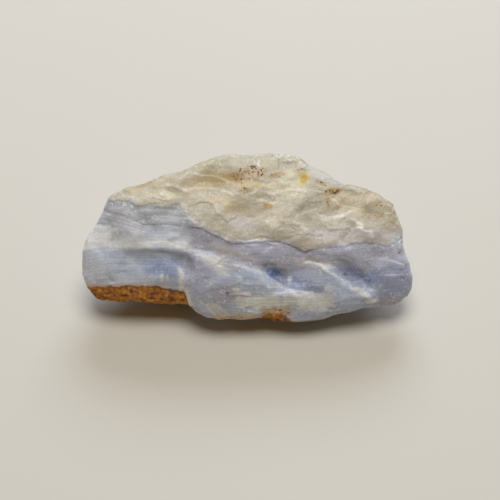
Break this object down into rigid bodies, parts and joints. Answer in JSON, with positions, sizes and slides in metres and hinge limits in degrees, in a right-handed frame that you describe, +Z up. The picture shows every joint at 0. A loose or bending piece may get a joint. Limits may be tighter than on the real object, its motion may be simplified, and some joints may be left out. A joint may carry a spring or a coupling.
{
  "type": "rough blue lace agate",
  "caption": "Rough broken vein piece of blue lace agate: cream quartz crest, lilac and blue chalcedony bands, stepped shingles and a rusty rind along its foot.",
  "frame": {"origin": "bottom centre of the bounding box, on the surface that the stone rests on", "axes": "+X along the stone's length, +Z up, the broken banded face towards -Y and up"},
  "size_m": [0.0808, 0.0372, 0.0303],
  "materials": {
    "agate": "matte to waxy broken stone, banded blue, lilac, cream and rust"
  },
  "bodies": {
    "root": {"blue_lace_agate": "agate"}
  },
  "joints": []
}
